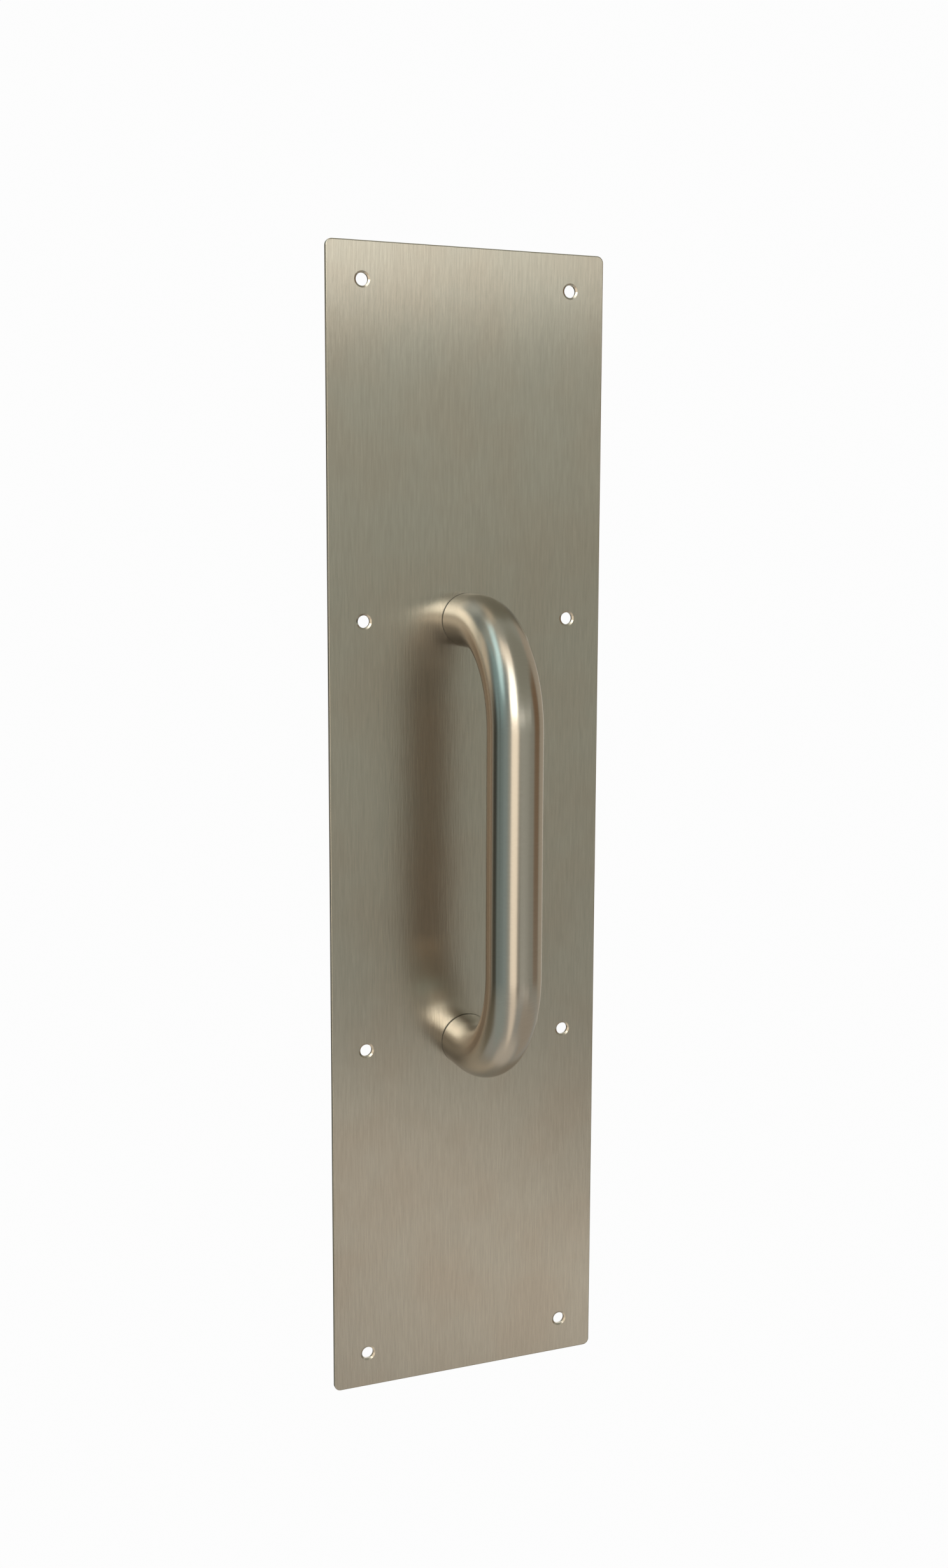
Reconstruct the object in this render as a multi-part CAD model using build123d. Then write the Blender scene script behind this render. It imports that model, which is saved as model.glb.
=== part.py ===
from build123d import *
import os
from math import radians, tan

os.makedirs("parts", exist_ok=True)

# Lengths are in millimetres and angles in degrees.
# X runs to the right, Y into the door and Z up. The origin is the centre of the plate's back face.

# Sheet plate
plate_width = 101.6
plate_height = 406.4
plate_thickness = 1.27
corner_radius = 2.38
front_edge_radius = 0.4

# Countersunk holes for the screws that fix the plate to the door
door_hole_diameter = 4.3
door_sink_diameter = 5.6
door_sink_angle = 130
side_margin = 12.7
end_margin = 12.7

# Bent round bar
bar_diameter = 19.05
handle_centres = 152.4
bend_radius = 34.925
leg_length = 9.525
bar_end_chamfer = 0.3

# Flat-head machine screws that hold the bar, put in from behind the plate
screw_diameter = 6.35
screw_length = 12.7
screw_head_diameter = 12.7
screw_head_angle = 82
screw_tip_chamfer = 0.6
head_below_back = 0.1
thread_clearance = 0.1
tapped_hole_spare = 2.5

# Cross recess in each screw's head
drive_span = 6.0
drive_width = 1.5
drive_depth = 2.0
drive_taper = 8

# The back plane looks out of the front of the plate: its local Z is -Y and its local Y is +Z.
back_plane = Plane.XZ
front_plane = back_plane.offset(plate_thickness)
upper_leg = Pos(0, handle_centres / 2, 0)
lower_leg = Pos(0, -handle_centres / 2, 0)
head_slope = tan(radians(screw_head_angle / 2))


def plate_blank():
    """The sheet with rounded corners and a softened front edge."""
    outline = back_plane * RectangleRounded(plate_width, plate_height, corner_radius)
    blank = extrude(outline, plate_thickness)
    front_edges = blank.faces().sort_by(Axis.Y)[0].edges()
    return fillet(front_edges, front_edge_radius)


def door_hole():
    """Cutter for one screw hole to the door, with the plate's front face at its local zero."""
    sink_depth = (door_sink_diameter - door_hole_diameter) / 2 / tan(radians(door_sink_angle / 2))
    top = (Align.CENTER, Align.CENTER, Align.MAX)
    hole = Cylinder(door_hole_diameter / 2, plate_thickness, align=top)
    sink = Cone(door_hole_diameter / 2, door_sink_diameter / 2, sink_depth, align=top)
    return hole + sink


def screw_seat():
    """Cutter for a handle screw, through the plate and into the bar, from the plate's back face."""
    base = (Align.CENTER, Align.CENTER, Align.MIN)
    mouth_radius = screw_head_diameter / 2 + head_below_back * head_slope
    bore_radius = screw_diameter / 2 + thread_clearance
    sink_depth = (mouth_radius - bore_radius) / head_slope
    sink = Cone(mouth_radius, bore_radius, sink_depth, align=base)
    bore = Cylinder(bore_radius, head_below_back + screw_length + tapped_hole_spare, align=base)
    return sink + bore


def plate():
    """The finished plate: blank, two rows of door holes inside two outer rows, and the screw seats."""
    body = plate_blank()
    hole_columns = plate_width - 2 * side_margin
    outer_rows = plate_height - 2 * end_margin
    for rows in (outer_rows, handle_centres):
        for place in GridLocations(hole_columns, rows, 2, 2):
            body -= front_plane * place * door_hole()
    for leg in (upper_leg, lower_leg):
        body -= back_plane * leg * screw_seat()
    return body


def bar_centreline():
    """The bar's middle line, from the plate's front face at the upper leg round to the lower leg."""
    front_y = -plate_thickness
    grip_y = front_y - leg_length - bend_radius
    leg_z = handle_centres / 2
    return FilletPolyline(
        (0, front_y, leg_z),
        (0, grip_y, leg_z),
        (0, grip_y, -leg_z),
        (0, front_y, -leg_z),
        radius=bend_radius,
    )


def pull_handle():
    """The round bar bent into a D, its ends squared, chamfered, countersunk and bored for the screws."""
    line = bar_centreline()
    section = Plane(origin=line @ 0, z_dir=line % 0) * Circle(bar_diameter / 2)
    bar = sweep(section, path=line)
    end_edges = bar.edges().filter_by(GeomType.CIRCLE).group_by(Axis.Y)[-1]
    bar = chamfer(end_edges, bar_end_chamfer)
    for leg in (upper_leg, lower_leg):
        bar -= back_plane * leg * screw_seat()
    return bar


def drive_recess():
    """Cutter for the cross recess in a screw's head, narrowing as it goes down."""
    cross = Rectangle(drive_span, drive_width) + Rectangle(drive_width, drive_span)
    return extrude(cross, drive_depth, taper=drive_taper)


def handle_screw():
    """One flat-head machine screw, with the plate's back face at its local zero."""
    base = (Align.CENTER, Align.CENTER, Align.MIN)
    head_depth = (screw_head_diameter - screw_diameter) / 2 / head_slope
    shank = Cylinder(screw_diameter / 2, screw_length, align=base)
    shank = chamfer(shank.faces().sort_by(Axis.Z)[-1].edges(), screw_tip_chamfer)
    head = Cone(screw_head_diameter / 2, screw_diameter / 2, head_depth, align=base)
    screw = head + shank - drive_recess()
    return Pos(0, 0, head_below_back) * screw


def handle_screws():
    """The two handle screws, one in each end of the bar."""
    return Compound([back_plane * leg * handle_screw() for leg in (upper_leg, lower_leg)])


export_step(plate(), "parts/plate.step")
export_step(pull_handle(), "parts/pull_handle.step")
export_step(handle_screws(), "parts/handle_screws.step")
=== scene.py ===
from math import cos, pi, radians, sin, tan

import bmesh
import bpy
from bpy.props import FloatProperty, FloatVectorProperty, IntProperty, PointerProperty
from mathutils import Matrix, Vector


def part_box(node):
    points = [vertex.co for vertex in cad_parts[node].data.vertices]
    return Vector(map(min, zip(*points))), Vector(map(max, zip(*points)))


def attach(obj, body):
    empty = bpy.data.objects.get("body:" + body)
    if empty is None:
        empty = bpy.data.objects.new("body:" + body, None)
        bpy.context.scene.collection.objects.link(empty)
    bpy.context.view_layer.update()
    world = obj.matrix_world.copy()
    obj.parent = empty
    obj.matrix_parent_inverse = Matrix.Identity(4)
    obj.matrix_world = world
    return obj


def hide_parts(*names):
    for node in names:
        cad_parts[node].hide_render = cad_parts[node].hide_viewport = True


bl_info = {
    "name": "Door Pull Plate",
    "version": (1, 0, 0),
    "blender": (4, 5, 0),
    "location": "3D View > Sidebar > Pull Plate",
    "description": "Finishes a brushed steel door pull plate and sets it in a plain studio",
    "category": "Object",
}

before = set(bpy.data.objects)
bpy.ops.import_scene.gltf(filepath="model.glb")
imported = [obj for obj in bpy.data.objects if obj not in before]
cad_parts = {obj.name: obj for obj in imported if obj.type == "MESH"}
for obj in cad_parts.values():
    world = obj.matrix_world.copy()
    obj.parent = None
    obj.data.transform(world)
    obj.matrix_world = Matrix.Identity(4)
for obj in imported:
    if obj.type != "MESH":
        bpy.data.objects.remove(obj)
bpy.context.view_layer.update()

# Lengths are in metres. X runs to the right, Y into the door and Z up.
plate_low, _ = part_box("plate")
bar_low, bar_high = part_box("pull_handle")
screws_low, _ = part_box("handle_screws")
bar_width = bar_high.x - bar_low.x
legs_apart = bar_high.z - bar_low.z - bar_width
bar_reach = bar_high.y - bar_low.y

white = (1.0, 1.0, 1.0)


class PullplateBar(bpy.types.PropertyGroup):
    """Sizes of the bent bar."""

    diameter: FloatProperty(
        name="Diameter", description="Thickness of the round bar",
        default=bar_width, min=0.005, unit="LENGTH")
    centres: FloatProperty(
        name="Centres", description="Distance between the middles of the two legs",
        default=legs_apart, min=0.05, unit="LENGTH")
    bend_radius: FloatProperty(
        name="Bend radius", description="Radius of the bar's middle line in each bend",
        default=0.034925, min=0.01, unit="LENGTH")
    end_chamfer: FloatProperty(
        name="End chamfer", description="Bevel round each end, where the bar stands on the plate",
        default=0.0003, min=0.0, unit="LENGTH")
    bore: FloatProperty(
        name="Bore", description="Diameter of the hole for the screw in each end",
        default=0.00655, min=0.001, unit="LENGTH")
    sink_mouth: FloatProperty(
        name="Sink mouth", description="Diameter of the countersink where it opens in the bar's end",
        default=0.010666, min=0.001, unit="LENGTH")
    sink_angle: FloatProperty(
        name="Sink angle", description="Full angle of the countersink",
        default=radians(82), unit="ROTATION")
    bore_spare: FloatProperty(
        name="Bore spare", description="Depth of the hole past the screw's tip",
        default=0.0025, min=0.0, unit="LENGTH")
    sides: IntProperty(
        name="Sides", description="Number of faces round the bar", default=112, min=12)
    bend_steps: IntProperty(
        name="Bend steps", description="Number of rings in each bend", default=64, min=8)


class PullplateFinish(bpy.types.PropertyGroup):
    """Colours and grain of the steel pieces."""

    plate_colour: FloatVectorProperty(
        name="Plate", description="Colour of the plate's steel",
        subtype="COLOR", size=3, default=(0.56, 0.535, 0.475))
    bar_colour: FloatVectorProperty(
        name="Bar", description="Colour of the bar's steel",
        subtype="COLOR", size=3, default=(0.57, 0.55, 0.505))
    # The inside, rim, under and top tints are painted shade on the bar, darkening its colour inside the
    # bend, along its sides, under each leg by the plate and on top of the upper bend.
    inside_shade_tint: FloatVectorProperty(
        name="Inside of the bend", description="Tint of the brown film on the bar's inner side",
        subtype="COLOR", size=3, default=(0.6, 0.49, 0.4))
    rim_shade_tint: FloatVectorProperty(
        name="Rim of the film", description="Further tint where the brown film ends, along both sides",
        subtype="COLOR", size=3, default=(0.5, 0.48, 0.46))
    under_tint: FloatVectorProperty(
        name="Under the legs", description="Tint of the shade under each leg, next to the plate",
        subtype="COLOR", size=3, default=(0.29, 0.28, 0.26))
    # The top tint is painted shade on top of the upper bend.
    top_shade_tint: FloatVectorProperty(
        name="Top of the bend", description="Tint of the dull band on top of the upper bend",
        subtype="COLOR", size=3, default=(0.42, 0.46, 0.5))
    screw_colour: FloatVectorProperty(
        name="Screws", description="Colour of the screws' steel",
        subtype="COLOR", size=3, default=(0.55, 0.545, 0.53))
    grain_width: FloatProperty(
        name="Grain width", description="Width of one streak of the plate's grain",
        default=0.0005, min=0.0001, unit="LENGTH")
    grain_length: FloatProperty(
        name="Grain length", description="Length of one streak of the plate's grain",
        default=0.008, min=0.001, unit="LENGTH")
    bar_grain_width: FloatProperty(
        name="Bar grain width", description="Width of one polishing line round the bar",
        default=0.0003, min=0.0001, unit="LENGTH")
    bar_grain_length: FloatProperty(
        name="Bar grain length", description="Length of one polishing line round the bar",
        default=0.005, min=0.001, unit="LENGTH")
    seam_width: FloatProperty(
        name="Seam width", description="Width of the dark line where the bar stands on the plate",
        default=0.0009, min=0.0, unit="LENGTH")
    plate_roughness: FloatProperty(
        name="Plate roughness", description="Roughness of the plate where it is smoothest",
        subtype="FACTOR", default=0.181, min=0.0, max=1.0)
    plate_anisotropy: FloatProperty(
        name="Plate anisotropy", description="How strongly the plate's grain stretches what it mirrors",
        subtype="FACTOR", default=0.87, min=0.0, max=1.0)
    bar_roughness: FloatProperty(
        name="Bar roughness", description="Roughness of the bar where it is smoothest",
        subtype="FACTOR", default=0.215, min=0.0, max=1.0)
    bar_anisotropy: FloatProperty(
        name="Bar anisotropy", description="How strongly the bar's polishing stretches what it mirrors",
        subtype="FACTOR", default=0.625, min=0.0, max=1.0)


class PullplateStage(bpy.types.PropertyGroup):
    """Floor, backdrop and camera."""

    floor_drop: FloatProperty(
        name="Floor drop", description="Height of the plate's lower edge above the floor",
        default=0.3, min=0.0, unit="LENGTH")
    floor_colour: FloatVectorProperty(
        name="Floor", description="Colour of the floor and of the backdrop it runs up to",
        subtype="COLOR", size=3, default=(0.98, 0.98, 0.98))
    camera_place: FloatVectorProperty(
        name="Camera place", description="Where the camera stands",
        subtype="XYZ", unit="LENGTH", size=3, default=(-0.22075, -0.57655, 0.11187))
    camera_aim: FloatVectorProperty(
        name="Camera aim", description="Point on the plate that the camera looks at",
        subtype="XYZ", unit="LENGTH", size=3, default=(0.01815, -0.00127, 0.02103))
    camera_roll: FloatProperty(
        name="Camera roll", description="Tilt of the camera about its own line of sight",
        default=radians(0.401), unit="ROTATION")
    camera_lens: FloatProperty(
        name="Lens", description="Focal length on a 36 mm sensor", default=40.12, unit="CAMERA")
    camera_shift: FloatVectorProperty(
        name="Shift", description="Shift of the picture across and up, as a share of its longer side",
        size=2, default=(-0.0257, -0.0072))


def feed(tree, socket, source):
    """Links a socket's output to an input, or sets the input to a plain value."""
    if isinstance(source, bpy.types.NodeSocket):
        tree.links.new(source, socket)
    elif source is not None:
        socket.default_value = source


def math_node(tree, operation, *sources):
    """A math node on the given sockets or numbers. Gives its result."""
    node = tree.nodes.new("ShaderNodeMath")
    node.operation = operation
    for socket, source in zip(node.inputs, sources):
        feed(tree, socket, source)
    return node.outputs[0]


def vector_node(tree, operation, *sources):
    """A vector math node on the given sockets or vectors. Gives its vector."""
    node = tree.nodes.new("ShaderNodeVectorMath")
    node.operation = operation
    for socket, source in zip(node.inputs, sources):
        feed(tree, socket, source)
    return node.outputs["Vector"]


def combine(tree, x, y, z):
    """A vector from three sockets or numbers."""
    node = tree.nodes.new("ShaderNodeCombineXYZ")
    for socket, source in zip(node.inputs, (x, y, z)):
        feed(tree, socket, source)
    return node.outputs["Vector"]


def split(tree, vector):
    """The three parts of a vector."""
    node = tree.nodes.new("ShaderNodeSeparateXYZ")
    feed(tree, node.inputs["Vector"], vector)
    return node.outputs["X"], node.outputs["Y"], node.outputs["Z"]


def remap(tree, source, from_low, from_high, to_low=0.0, to_high=1.0):
    """Maps a value smoothly from one range to another, held at both ends."""
    node = tree.nodes.new("ShaderNodeMapRange")
    node.interpolation_type = "SMOOTHSTEP"
    feed(tree, node.inputs["Value"], source)
    feed(tree, node.inputs["From Min"], from_low)
    feed(tree, node.inputs["From Max"], from_high)
    feed(tree, node.inputs["To Min"], to_low)
    feed(tree, node.inputs["To Max"], to_high)
    return node.outputs["Result"]


def noise(tree, vector, scale=1.0, detail=2.0, roughness=0.5):
    """Smooth noise between 0 and 1."""
    node = tree.nodes.new("ShaderNodeTexNoise")
    feed(tree, node.inputs["Vector"], vector)
    feed(tree, node.inputs["Scale"], scale)
    node.inputs["Detail"].default_value = detail
    node.inputs["Roughness"].default_value = roughness
    return node.outputs["Fac"]


def mix_colour(tree, share, first, second, blend="MIX"):
    """Mixes two colours by a share, on the colour sockets of a mix node."""
    node = tree.nodes.new("ShaderNodeMix")
    node.data_type = "RGBA"
    node.blend_type = blend
    feed(tree, node.inputs["Factor"], share)
    colours = [socket for socket in node.inputs if socket.type == "RGBA"]
    feed(tree, colours[0], first)
    feed(tree, colours[1], second)
    return next(socket for socket in node.outputs if socket.type == "RGBA")


def new_group(name, inputs, outputs):
    """An empty node group with named inputs and outputs. Inputs are (name, kind, default)."""
    group = bpy.data.node_groups.new(name, "ShaderNodeTree")
    for label, kind, default in inputs:
        socket = group.interface.new_socket(label, in_out="INPUT", socket_type=kind)
        if default is not None:
            socket.default_value = default
    for label, kind in outputs:
        group.interface.new_socket(label, in_out="OUTPUT", socket_type=kind)
    given = group.nodes.new("NodeGroupInput").outputs
    wanted = group.nodes.new("NodeGroupOutput").inputs
    return group, given, wanted


def place_group(tree, name, **values):
    """Places a node group in a tree and sets its inputs. Gives its outputs."""
    node = tree.nodes.new("ShaderNodeGroup")
    node.node_tree = bpy.data.node_groups[name]
    for label, source in values.items():
        feed(tree, node.inputs[label.replace("_", " ").title()], source)
    return node.outputs


def make_grain_group():
    """Brushed grain: streaks that run along Z of the place it is given, and wider bands of them."""
    group, given, wanted = new_group(
        "Brushed Grain",
        [("Place", "NodeSocketVector", None), ("Width", "NodeSocketFloat", 0.0005),
         ("Length", "NodeSocketFloat", 0.01)],
        [("Streaks", "NodeSocketFloat"), ("Bands", "NodeSocketFloat")])
    x, y, z = split(group, given["Place"])
    across = math_node(group, "DIVIDE", x, given["Width"])
    through = math_node(group, "DIVIDE", y, given["Width"])
    along = math_node(group, "DIVIDE", z, given["Length"])
    place = combine(group, across, through, along)
    band_scale = (0.2, 0.2, 0.4)
    wide_place = vector_node(group, "MULTIPLY", place, band_scale)
    feed(group, wanted["Streaks"], noise(group, place, roughness=0.6))
    feed(group, wanted["Bands"], noise(group, wide_place))


def make_patch_group():
    """Broad cloudy patches where the steel has been handled."""
    group, given, wanted = new_group(
        "Handled Patches",
        [("Place", "NodeSocketVector", None), ("Size", "NodeSocketFloat", 0.03)],
        [("Patches", "NodeSocketFloat")])
    scale = math_node(group, "DIVIDE", 1.0, given["Size"])
    patches = noise(group, given["Place"], scale=scale, detail=3.0, roughness=0.55)
    feed(group, wanted["Patches"], patches)


def make_pit_group():
    """Tiny pits scattered over polished steel. Gives a mask that is 1 in a pit."""
    group, given, wanted = new_group(
        "Tiny Pits",
        [("Place", "NodeSocketVector", None), ("Spacing", "NodeSocketFloat", 0.003),
         ("Radius", "NodeSocketFloat", 0.0002), ("Share", "NodeSocketFloat", 0.3)],
        [("Pits", "NodeSocketFloat")])
    cells = group.nodes.new("ShaderNodeTexVoronoi")
    feed(group, cells.inputs["Vector"], given["Place"])
    feed(group, cells.inputs["Scale"], math_node(group, "DIVIDE", 1.0, given["Spacing"]))
    distance = math_node(group, "MULTIPLY", cells.outputs["Distance"], given["Spacing"])
    spot = remap(group, distance, given["Radius"], 0.0)
    chance, _, _ = split(group, cells.outputs["Color"])
    chosen = math_node(group, "LESS_THAN", chance, given["Share"])
    feed(group, wanted["Pits"], math_node(group, "MULTIPLY", spot, chosen))


def make_soft_box_group():
    """A soft-edged rectangle of light, laid over the light round it."""
    group, given, wanted = new_group(
        "Soft Box",
        [("Direction", "NodeSocketVector", None), ("Surroundings", "NodeSocketColor", None),
         ("Azimuth", "NodeSocketFloat", 0.0), ("Elevation", "NodeSocketFloat", 0.0),
         ("Half Width", "NodeSocketFloat", 0.2), ("Half Height", "NodeSocketFloat", 0.2),
         ("Edge", "NodeSocketFloat", 0.1), ("Light", "NodeSocketColor", None)],
        [("Light", "NodeSocketColor")])
    x, y, z = split(group, given["Direction"])
    azimuth = math_node(group, "ARCTAN2", x, math_node(group, "MULTIPLY", y, -1.0))
    turned = math_node(group, "SUBTRACT", azimuth, given["Azimuth"])
    sideways = math_node(group, "ABSOLUTE", math_node(group, "WRAP", turned, pi, -pi))
    raised = math_node(group, "SUBTRACT", math_node(group, "ARCSINE", z), given["Elevation"])
    upwards = math_node(group, "ABSOLUTE", raised)
    half_edge = math_node(group, "MULTIPLY", given["Edge"], 0.5)
    masks = []
    for angle, half in ((sideways, given["Half Width"]), (upwards, given["Half Height"])):
        outer = math_node(group, "ADD", half, half_edge)
        inner = math_node(group, "SUBTRACT", half, half_edge)
        masks.append(remap(group, angle, outer, inner))
    mask = math_node(group, "MULTIPLY", *masks)
    feed(group, wanted["Light"], mix_colour(group, mask, given["Surroundings"], given["Light"]))


def make_shared_groups():
    """Builds each shared node group once."""
    makers = {
        "Brushed Grain": make_grain_group,
        "Handled Patches": make_patch_group,
        "Tiny Pits": make_pit_group,
        "Soft Box": make_soft_box_group,
    }
    for name, maker in makers.items():
        if name not in bpy.data.node_groups:
            maker()


def new_steel(name):
    """A material with a plain metal shader. Gives the material, its tree and the shader."""
    make_shared_groups()
    material = bpy.data.materials.new(name)
    material.use_nodes = True
    tree = material.node_tree
    shader = tree.nodes["Principled BSDF"]
    shader.inputs["Metallic"].default_value = 1.0
    return material, tree, shader


def tint(colour, share):
    """The colour, lighter or darker by a share, with full opacity."""
    return (*(part * share for part in colour), 1.0)


def bump(tree, shader, height, depth):
    """Feeds a height to the shader's normal. Depth is what a height of 1 stands for, in metres."""
    node = tree.nodes.new("ShaderNodeBump")
    node.inputs["Distance"].default_value = depth
    feed(tree, node.inputs["Height"], height)
    feed(tree, shader.inputs["Normal"], node.outputs["Normal"])


def uneven(tree, shader, pattern, smoothest, spread):
    """Roughness that rises with a pattern, from its smoothest value by a spread."""
    roughness = math_node(tree, "MULTIPLY_ADD", pattern, spread, smoothest)
    feed(tree, shader.inputs["Roughness"], roughness)


def leg_distance(tree, place):
    """Distance from the middle line of the nearer leg, in metres."""
    x, y, z = split(tree, place)
    up = math_node(tree, "SUBTRACT", math_node(tree, "ABSOLUTE", z), legs_apart / 2)
    across_squared = math_node(tree, "MULTIPLY", x, x)
    return math_node(tree, "SQRT", math_node(tree, "MULTIPLY_ADD", up, up, across_squared))


def plate_steel(finish):
    """Satin steel with a straight grain up the plate, under faint smudges."""
    material, tree, shader = new_steel("plate_satin_steel")
    place = tree.nodes.new("ShaderNodeTexCoord").outputs["Object"]
    grain = place_group(tree, "Brushed Grain", place=place,
                        width=finish.grain_width, length=finish.grain_length)
    smudges = place_group(tree, "Handled Patches", place=place, size=0.04)
    streaked = mix_colour(tree, grain["Streaks"],
                          tint(finish.plate_colour, 0.87), tint(finish.plate_colour, 1.13))
    banded = mix_colour(tree, grain["Bands"], tint(white, 0.99), tint(white, 1.01))
    cool_clean = (1.005, 1.016, 1.022, 1.0)
    warm_smudge = (0.99, 0.962, 0.947, 1.0)
    smudge_mask = remap(tree, smudges["Patches"], 0.35, 0.68)
    smudged = mix_colour(tree, smudge_mask, cool_clean, warm_smudge)
    colour = mix_colour(tree, 1.0, streaked, banded, "MULTIPLY")
    colour = mix_colour(tree, 1.0, colour, smudged, "MULTIPLY")
    feed(tree, shader.inputs["Base Color"], colour)
    uneven(tree, shader, smudges["Patches"], finish.plate_roughness, spread=0.022)
    shader.inputs["Anisotropic"].default_value = finish.plate_anisotropy
    across_grain = combine(tree, 1.0, 0.0, 0.0)
    feed(tree, shader.inputs["Tangent"], across_grain)
    bump(tree, shader, grain["Streaks"], depth=0.00002)
    return material


def overlap(tree, *masks):
    """The mask of what lies in all the given masks."""
    shared = masks[0]
    for mask in masks[1:]:
        shared = math_node(tree, "MULTIPLY", shared, mask)
    return shared


def bar_painted_shade(tree, outward, place, finish):
    """Painted shade tinting the bar's steel: brown inside the bend with a darker line along its sides,
    dark under each leg, a darker band on top.

    Turn is the place across the bend, from -1 on its inner side to 1 on its outer side.
    Reach is the place from the plate outwards, from 0 at the plate to 1 at the front of the grip.
    """
    _, depth, height = split(tree, place)
    turn = math_node(tree, "DIVIDE", outward, bar_width / 2)
    reach = math_node(tree, "DIVIDE", math_node(tree, "SUBTRACT", bar_high.y, depth), bar_reach)
    by_plate = remap(tree, reach, 0.65, 0.25)
    on_grip = math_node(tree, "SUBTRACT", 1.0, by_plate)
    # Painted shade: brown on the inner side of the bend, with a darker line along both sides, both away
    # from the plate.
    inner_side = remap(tree, turn, 0.4, -0.15)
    from_rim = math_node(tree, "ABSOLUTE", math_node(tree, "ADD", turn, 0.02))
    rim = remap(tree, from_rim, 0.2, 0.07)
    # The shade covers the lower half of the upper leg, and reaches higher up on the lower leg.
    up_or_down = math_node(tree, "SIGN", height)
    upward = math_node(tree, "MULTIPLY", math_node(tree, "ADD", turn, 0.23), up_or_down)
    under_leg = overlap(tree, remap(tree, upward, 0.33, -0.03), remap(tree, upward, -1.1, -0.45))
    # The painted shade band on top fades in where the upper leg ends, and out before the middle of the
    # bend.
    across_band = overlap(tree, remap(tree, turn, 0.43, 0.63), remap(tree, turn, 0.985, 0.82))
    along_band = overlap(tree, remap(tree, reach, 0.13, 0.37), remap(tree, reach, 0.68, 0.5))
    upper_half = math_node(tree, "GREATER_THAN", height, 0.0)
    # Each mask darkens the colour by its tint, as painted shade.
    layers = (
        (overlap(tree, inner_side, on_grip), finish.inside_shade_tint),
        (overlap(tree, rim, on_grip), finish.rim_shade_tint),
        (overlap(tree, under_leg, by_plate), finish.under_tint),
        (overlap(tree, across_band, along_band, upper_half), finish.top_shade_tint),
    )
    painted_shade = tint(white, 1.0)
    for mask, shade in layers:
        painted_shade = mix_colour(tree, mask, painted_shade, tint(shade, 1.0), "MULTIPLY")
    return painted_shade


def bar_steel(finish):
    """Brighter satin steel, polished round the bar, with tiny pits and painted shade."""
    material, tree, shader = new_steel("bar_satin_steel")
    straight = tree.nodes.new("ShaderNodeAttribute")
    straight.attribute_name = "straight_place"
    place = straight.outputs["Vector"]
    along, side, outward = split(tree, place)
    turned = combine(tree, along, 0.0, math_node(tree, "ADD", side, outward))
    grain = place_group(tree, "Brushed Grain", place=turned,
                        width=finish.bar_grain_width, length=finish.bar_grain_length)
    patches = place_group(tree, "Handled Patches", place=place, size=0.02)
    pits = place_group(tree, "Tiny Pits", place=place, spacing=0.004, radius=0.00025, share=0.25)
    colour = mix_colour(tree, grain["Streaks"],
                        tint(finish.bar_colour, 0.93), tint(finish.bar_colour, 1.07))
    bent_place = tree.nodes.new("ShaderNodeTexCoord").outputs["Object"]
    # The painted shade darkens the steel inside the bend, under the legs and on top of the upper bend.
    painted_shade = bar_painted_shade(tree, outward, bent_place, finish)
    colour = mix_colour(tree, 1.0, colour, painted_shade, "MULTIPLY")
    dark_steel = tint(finish.bar_colour, 0.3)
    pit_strength = 0.45
    pitted = math_node(tree, "MULTIPLY", pits["Pits"], pit_strength)
    colour = mix_colour(tree, pitted, colour, dark_steel)
    depth = split(tree, bent_place)[1]
    seam = remap(tree, depth, bar_high.y - finish.seam_width, bar_high.y - finish.seam_width / 2)
    colour = mix_colour(tree, seam, colour, dark_steel)
    feed(tree, shader.inputs["Base Color"], colour)
    uneven(tree, shader, patches["Patches"], finish.bar_roughness, spread=0.03)
    shader.inputs["Anisotropic"].default_value = finish.bar_anisotropy
    tangent = tree.nodes.new("ShaderNodeTangent")
    tangent.direction_type = "UV_MAP"
    tangent.uv_map = "bar_wrap"
    feed(tree, shader.inputs["Tangent"], tangent.outputs["Tangent"])
    height = math_node(tree, "SUBTRACT", grain["Streaks"], pits["Pits"])
    bump(tree, shader, height, depth=0.000006)
    return material


def screw_steel(finish):
    """Plain steel with turning marks round the screw's own middle line."""
    material, tree, shader = new_steel("screw_turned_steel")
    place = tree.nodes.new("ShaderNodeTexCoord").outputs["Object"]
    turned = combine(tree, leg_distance(tree, place), split(tree, place)[1], 0.0)
    rings = place_group(tree, "Brushed Grain", place=turned, width=0.00012, length=0.01)
    colour = mix_colour(tree, rings["Streaks"],
                        tint(finish.screw_colour, 0.85), tint(finish.screw_colour, 1.1))
    feed(tree, shader.inputs["Base Color"], colour)
    uneven(tree, shader, rings["Bands"], smoothest=0.26, spread=0.1)
    bump(tree, shader, rings["Streaks"], depth=0.000008)
    return material


def bar_line(shape):
    """Points and directions of the bar's middle line, from the upper end to the lower one."""
    leg_z = shape.centres / 2
    grip_y = bar_low.y + shape.diameter / 2
    leg_steps = 6
    half_grip_steps = 15
    bend_y = grip_y + shape.bend_radius
    bend_z = leg_z - shape.bend_radius
    bend_middle = Vector((0, bend_y, bend_z))
    out = Vector((0, -1, 0))
    down = Vector((0, 0, -1))
    line = []
    for step in range(leg_steps):
        share = step / leg_steps
        line.append((Vector((0, bar_high.y + (bend_y - bar_high.y) * share, leg_z)), out))
    for step in range(shape.bend_steps):
        turn = pi / 2 * step / shape.bend_steps
        spoke = Vector((0, -sin(turn), cos(turn)))
        heading = out * cos(turn) + down * sin(turn)
        line.append((bend_middle + spoke * shape.bend_radius, heading))
    for step in range(half_grip_steps + 1):
        share = step / half_grip_steps
        line.append((Vector((0, grip_y, bend_z * (1 - share))), down))
    mirrored = [(Vector((0, p.y, -p.z)), Vector((0, -d.y, d.z))) for p, d in reversed(line[:-1])]
    return line + mirrored


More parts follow.
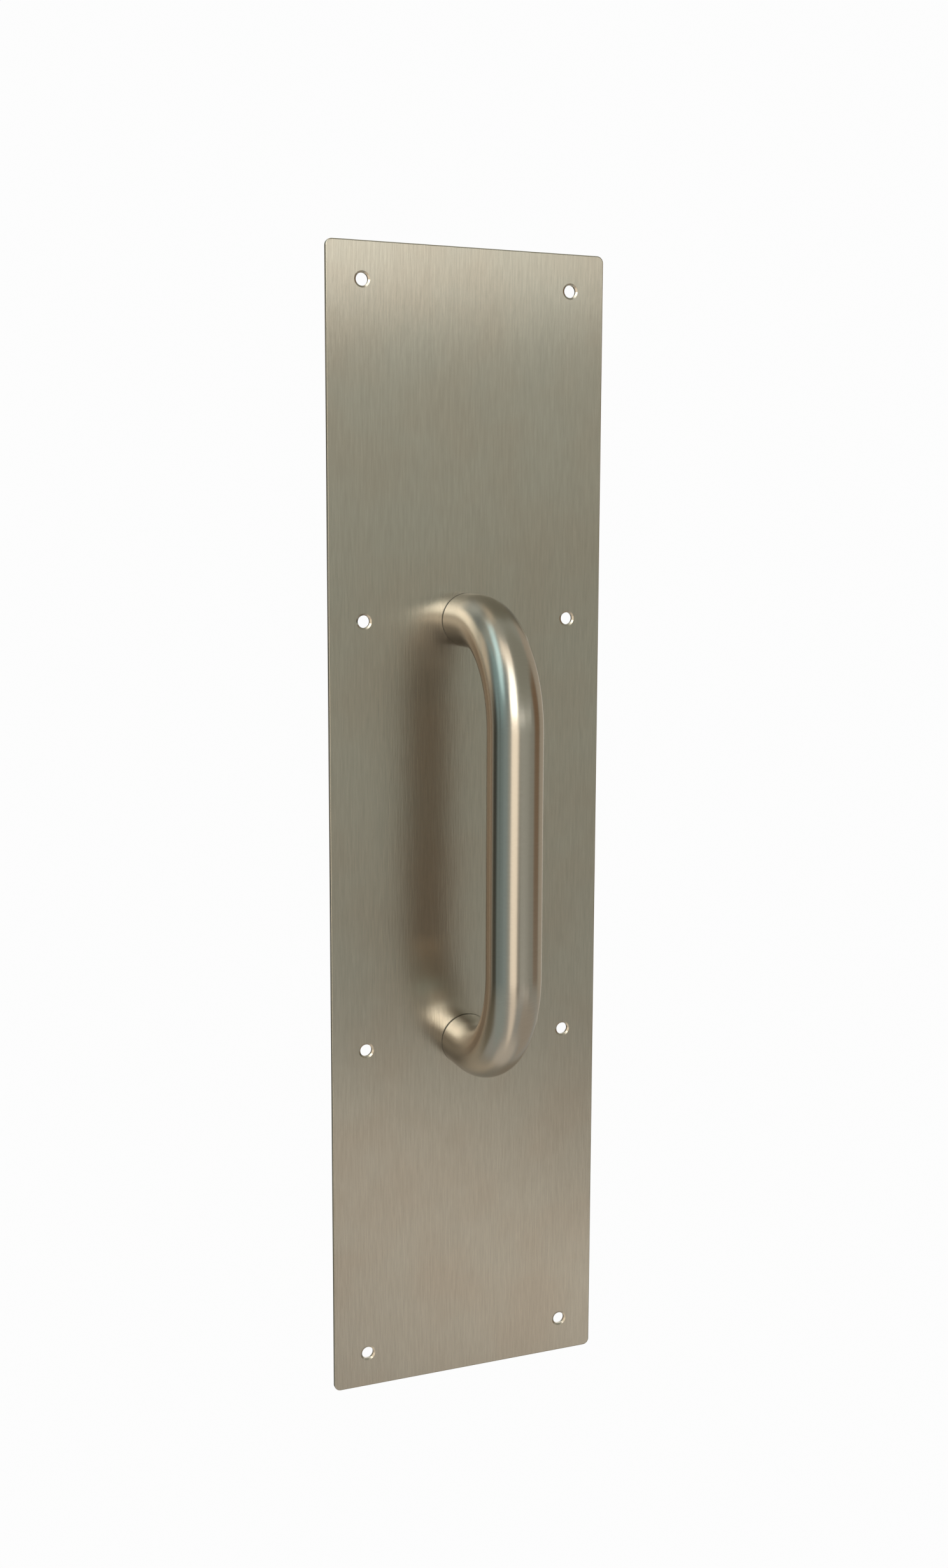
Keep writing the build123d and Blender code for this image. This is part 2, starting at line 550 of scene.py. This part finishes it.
def bar_rings(shape):
    """Rings of the bar as (point, direction, radius), out of one bored end and into the other."""
    radius = shape.diameter / 2
    screw_reach = bar_high.y - screws_low.y
    sink_depth = (shape.sink_mouth - shape.bore) / 2 / tan(shape.sink_angle / 2)
    seat = [
        (screw_reach + shape.bore_spare, shape.bore / 2),
        (sink_depth, shape.bore / 2),
        (0.0, shape.sink_mouth / 2),
        (0.0, radius - shape.end_chamfer),
        (shape.end_chamfer, radius),
    ]
    line = bar_line(shape)
    rings = []
    point, direction = line[0]
    for depth, ring_radius in seat:
        rings.append((point + direction * depth, direction, ring_radius))
    for middle, heading in line[1:-1]:
        rings.append((middle, heading, radius))
    point, direction = line[-1]
    for depth, ring_radius in reversed(seat):
        rings.append((point - direction * depth, direction, ring_radius))
    return rings


def bar_mesh(shape):
    """The bar's mesh.

    It keeps each point's place on the straight bar, and a wrap whose U runs along the bar.
    """
    mesh = bpy.data.meshes.new("pull_bar")
    grid = bmesh.new()
    straight = grid.verts.layers.float_vector.new("straight_place")
    wrap = grid.loops.layers.uv.new("bar_wrap")
    rings = bar_rings(shape)
    loops = []
    travelled = 0.0
    previous = rings[0][0]
    for point, direction, radius in rings:
        travelled += (point - previous).length
        previous = point
        side = Vector((1, 0, 0))
        up = direction.cross(side)
        ring = []
        for step in range(shape.sides):
            angle = 2 * pi * step / shape.sides
            vert = grid.verts.new(point + (side * cos(angle) + up * sin(angle)) * radius)
            vert[straight] = (travelled, radius * cos(angle), radius * sin(angle))
            ring.append(vert)
        loops.append((ring, travelled))
    for (ring, start), (following, end) in zip(loops, loops[1:]):
        for step in range(shape.sides):
            after = (step + 1) % shape.sides
            face = grid.faces.new((ring[step], ring[after], following[after], following[step]))
            corners = ((start, step), (start, step + 1), (end, step + 1), (end, step))
            for loop, (length, turn) in zip(face.loops, corners):
                loop[wrap].uv = (length / travelled, turn / shape.sides)
    grid.faces.new(loops[0][0])
    grid.faces.new(loops[-1][0])
    bmesh.ops.recalc_face_normals(grid, faces=grid.faces)
    grid.to_mesh(mesh)
    grid.free()
    mesh.shade_smooth()
    sharp_angle = radians(35)
    mesh.set_sharp_from_angle(angle=sharp_angle)
    return mesh


def soft_light(tree, name, direction, surroundings, place, half_size, edge, light):
    """Lays one soft box over the surroundings.

    Place is azimuth from -Y towards +X and elevation. All angles are in degrees.
    """
    outputs = place_group(
        tree, "Soft Box", direction=direction, surroundings=surroundings,
        azimuth=radians(place[0]), elevation=radians(place[1]),
        half_width=radians(half_size[0]), half_height=radians(half_size[1]),
        edge=radians(edge), light=(*light, 1.0))
    outputs["Light"].node.label = name
    return outputs["Light"]


def studio_boxes(tree, direction):
    """The light that the steel reflects: an even room, then soft boxes and cards laid over it."""
    height = split(tree, direction)[2]
    low_light = (0.38, 0.365, 0.325, 1.0)
    high_light = (0.386, 0.384, 0.323, 1.0)
    room = mix_colour(tree, remap(tree, height, -0.6, 0.0), low_light, high_light)

    def lay(name, place, half_size, edge, light):
        nonlocal room
        room = soft_light(tree, name, direction, room, place, half_size, edge, light)

    # Right side: a dim card above, a warm fill with brown and grey cards over it, a low warm card
    lay("high right card", (50, 52), (50, 30), 20, (0.31, 0.3, 0.24))
    lay("right fill", (114, 8), (22, 30), 12, (0.45, 0.385, 0.3))
    lay("right brown card", (75, 5), (16, 22), 10, (0.225, 0.142, 0.083))
    lay("right grey card", (48, -4), (12, 20), 8, (0.32, 0.31, 0.26))
    lay("low right warm card", (72, -46), (48, 16), 10, (0.41, 0.35, 0.28))
    # Left side: cool fills and dim cards, with a slanting row of bright cool boxes above them
    lay("left low fill", (-82, -6), (22, 14), 10, (0.2, 0.245, 0.235))
    lay("left cool fill", (-84, 21), (26, 19), 12, (0.29, 0.41, 0.41))
    lay("left pale fill", (-60, 0), (9, 20), 12, (0.28, 0.335, 0.325))
    lay("left dark line", (-86, 0), (3, 13), 4, (0.13, 0.16, 0.15))
    lay("left low cool card", (-75, -40), (22, 18), 12, (0.34, 0.37, 0.335))
    lay("left gap card", (-50, 30), (9, 16), 6, (0.2, 0.25, 0.25))
    lay("cool box 1", (-115, 62), (16, 7), 7, (0.85, 1.1, 1.08))
    lay("cool box 2", (-90, 55), (13, 7), 7, (0.92, 1.25, 1.27))
    lay("cool box 3", (-75, 44), (11, 9), 7, (1.1, 1.42, 1.42))
    lay("cool box 4", (-71, 31), (8, 11), 7, (0.88, 1.24, 1.26))
    # Below: a glow from straight below, and one for the plate's foot with a dim card at each end
    lay("floor glow", (0, -90), (180, 22), 12, (0.6, 0.53, 0.44))
    lay("low front glow", (14, -23.3), (32, 4.6), 6, (0.77, 0.7, 0.605))
    lay("low right card", (37, -19.5), (12, 3), 4, (0.36, 0.33, 0.28))
    lay("low left card", (2, -28), (16, 6.5), 6, (0.5, 0.455, 0.395))
    # Front: a warm column that dims downwards, with a dark card beside it and the bright boxes above
    lay("low warm column", (-22, -42), (14, 32), 18, (0.94, 0.8, 0.64))
    lay("warm column", (-23, -5), (15, 14), 8, (1.38, 1.18, 0.94))
    lay("low dark card", (-5, -20), (7, 8), 6, (0.2, 0.175, 0.14))
    lay("high warm box", (-35, 63), (34, 10), 8, (1.4, 1.2, 0.96))
    lay("main box", (-25, 19), (14.5, 10), 5, (3.6, 3.35, 2.9))
    lay("upper main box", (-22, 40), (15, 12), 8, (2.6, 2.5, 2.25))
    # Front, for the top of the plate: a veil, and two glows over it
    lay("front veil", (18, 3.5), (30, 4), 5, (0.435, 0.435, 0.37))
    lay("front glow", (16, 9.2), (30, 2.4), 1.5, (0.95, 0.92, 0.81))
    lay("left front glow", (4.5, 9.3), (12.5, 2.4), 2, (1.75, 1.67, 1.51))
    # Far left: dark, brown and grey cards, with a lit box over them
    lay("left dim card", (-122, -28), (20, 12), 8, (0.18, 0.15, 0.1))
    lay("left brown card", (-139, -6), (12, 13), 6, (0.3, 0.215, 0.15))
    lay("left black card", (-111, -5), (11, 14), 7, (0.036, 0.036, 0.029))
    lay("left grey card", (-107, 19), (6, 12), 6, (0.15, 0.18, 0.17))
    lay("back left box", (-130, 18), (14, 13), 8, (0.8, 0.66, 0.48))
    # Behind: a soft box at the right, one high up, and a dark card for the plate's left edge
    lay("back right box", (148, 3), (12, 26), 20, (1.1, 1.04, 0.95))
    lay("back high box", (175, 40), (25, 12), 16, (1.1, 1.08, 1.0))
    lay("back dark card", (-166, -8), (12, 30), 8, (0.14, 0.13, 0.105))
    return room


def studio_light(stage):
    """Soft light for the steel, with a plain backdrop for the camera."""
    make_shared_groups()
    world = bpy.data.worlds.new("studio_light")
    world.use_nodes = True
    tree = world.node_tree
    direction = tree.nodes.new("ShaderNodeTexCoord").outputs["Generated"]
    light = tree.nodes["Background"]
    feed(tree, light.inputs["Color"], studio_boxes(tree, direction))
    backdrop = tree.nodes.new("ShaderNodeBackground")
    feed(tree, backdrop.inputs["Color"], (*stage.floor_colour, 1.0))
    seen = tree.nodes.new("ShaderNodeLightPath").outputs["Is Camera Ray"]
    choice = tree.nodes.new("ShaderNodeMixShader")
    share, for_steel, for_camera = choice.inputs
    feed(tree, share, seen)
    feed(tree, for_steel, light.outputs["Background"])
    feed(tree, for_camera, backdrop.outputs["Background"])
    feed(tree, tree.nodes["World Output"].inputs["Surface"], choice.outputs["Shader"])
    bpy.context.scene.world = world


def studio_floor(stage):
    """A wide pale floor below the plate. It is kept out of the steel's reflections."""
    half_width = 12.0
    mesh = bpy.data.meshes.new("studio_floor")
    grid = bmesh.new()
    bmesh.ops.create_grid(grid, x_segments=1, y_segments=1, size=half_width)
    grid.to_mesh(mesh)
    grid.free()
    floor = bpy.data.objects.new("studio_floor", mesh)
    floor.location.z = plate_low.z - stage.floor_drop
    bpy.context.scene.collection.objects.link(floor)
    material = bpy.data.materials.new("pale_floor")
    material.use_nodes = True
    shader = material.node_tree.nodes["Principled BSDF"]
    shader.inputs["Base Color"].default_value = tint(stage.floor_colour, 0.0)
    shader.inputs["Specular IOR Level"].default_value = 0.0
    shader.inputs["Emission Color"].default_value = tint(stage.floor_colour, 1.0)
    shader.inputs["Emission Strength"].default_value = 1.0
    mesh.materials.append(material)
    floor.visible_glossy = False
    floor.visible_diffuse = False
    floor.visible_shadow = False


def studio_camera(stage):
    """The camera, aimed at the plate."""
    data = bpy.data.cameras.new("studio_camera")
    camera = bpy.data.objects.new("studio_camera", data)
    bpy.context.scene.collection.objects.link(camera)
    place = Vector(stage.camera_place)
    sight = (Vector(stage.camera_aim) - place).to_track_quat("-Z", "Y")
    roll = Matrix.Rotation(stage.camera_roll, 4, "Z")
    camera.matrix_world = Matrix.Translation(place) @ sight.to_matrix().to_4x4() @ roll
    data.sensor_width = 36.0
    data.lens = stage.camera_lens
    data.shift_x, data.shift_y = stage.camera_shift
    data.clip_start = 0.01
    bpy.context.scene.camera = camera


def dress(node, material):
    """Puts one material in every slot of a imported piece."""
    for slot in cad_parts[node].material_slots:
        slot.material = material


class PULLPLATE_OT_stage(bpy.types.Operator):
    """Make the floor, the light and the camera"""

    bl_idname = "pullplate.stage"
    bl_label = "Set the stage"

    def execute(self, context):
        stage = context.scene.pullplate_stage
        studio_floor(stage)
        studio_light(stage)
        studio_camera(stage)
        context.scene.view_settings.view_transform = "Standard"
        return {"FINISHED"}


class PULLPLATE_OT_plate(bpy.types.Operator):
    """Give the plate its straight brushed grain"""

    bl_idname = "pullplate.plate"
    bl_label = "Finish the plate"

    def execute(self, context):
        dress("plate", plate_steel(context.scene.pullplate_finish))
        return {"FINISHED"}


class PULLPLATE_OT_handle(bpy.types.Operator):
    """Make the bent bar and give it its polished finish"""

    bl_idname = "pullplate.handle"
    bl_label = "Make the handle"

    def execute(self, context):
        bar = bpy.data.objects.new("pull_bar", bar_mesh(context.scene.pullplate_bar))
        context.scene.collection.objects.link(bar)
        bar.data.materials.append(bar_steel(context.scene.pullplate_finish))
        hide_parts("pull_handle")
        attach(bar, "root")
        return {"FINISHED"}


class PULLPLATE_OT_screws(bpy.types.Operator):
    """Give the two handle screws their turned finish"""

    bl_idname = "pullplate.screws"
    bl_label = "Finish the screws"

    def execute(self, context):
        dress("handle_screws", screw_steel(context.scene.pullplate_finish))
        return {"FINISHED"}


class PULLPLATE_PT_sidebar(bpy.types.Panel):
    """Sizes, colours and steps of the pull plate"""

    bl_label = "Pull Plate"
    bl_space_type = "VIEW_3D"
    bl_region_type = "UI"
    bl_category = "Pull Plate"

    def draw(self, context):
        groups = (
            ("Stage", context.scene.pullplate_stage, ("pullplate.stage",)),
            ("Finish", context.scene.pullplate_finish, ("pullplate.plate", "pullplate.screws")),
            ("Bar", context.scene.pullplate_bar, ("pullplate.handle",)),
        )
        for title, settings, steps in groups:
            box = self.layout.box()
            box.label(text=title)
            for name in settings.__annotations__:
                box.prop(settings, name)
            for step in steps:
                box.operator(step)


classes = (
    PullplateBar,
    PullplateFinish,
    PullplateStage,
    PULLPLATE_OT_stage,
    PULLPLATE_OT_plate,
    PULLPLATE_OT_handle,
    PULLPLATE_OT_screws,
    PULLPLATE_PT_sidebar,
)


def register():
    """Registers the classes and hangs the settings on the scene."""
    for entry in classes:
        bpy.utils.register_class(entry)
    bpy.types.Scene.pullplate_bar = PointerProperty(type=PullplateBar)
    bpy.types.Scene.pullplate_finish = PointerProperty(type=PullplateFinish)
    bpy.types.Scene.pullplate_stage = PointerProperty(type=PullplateStage)


def unregister():
    """Takes the settings and classes off again."""
    del bpy.types.Scene.pullplate_stage
    del bpy.types.Scene.pullplate_finish
    del bpy.types.Scene.pullplate_bar
    for entry in reversed(classes):
        bpy.utils.unregister_class(entry)


def main():
    """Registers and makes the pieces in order."""
    register()
    bpy.ops.pullplate.stage()
    bpy.ops.pullplate.plate()
    bpy.ops.pullplate.handle()
    bpy.ops.pullplate.screws()


if __name__ == "__main__":
    main()
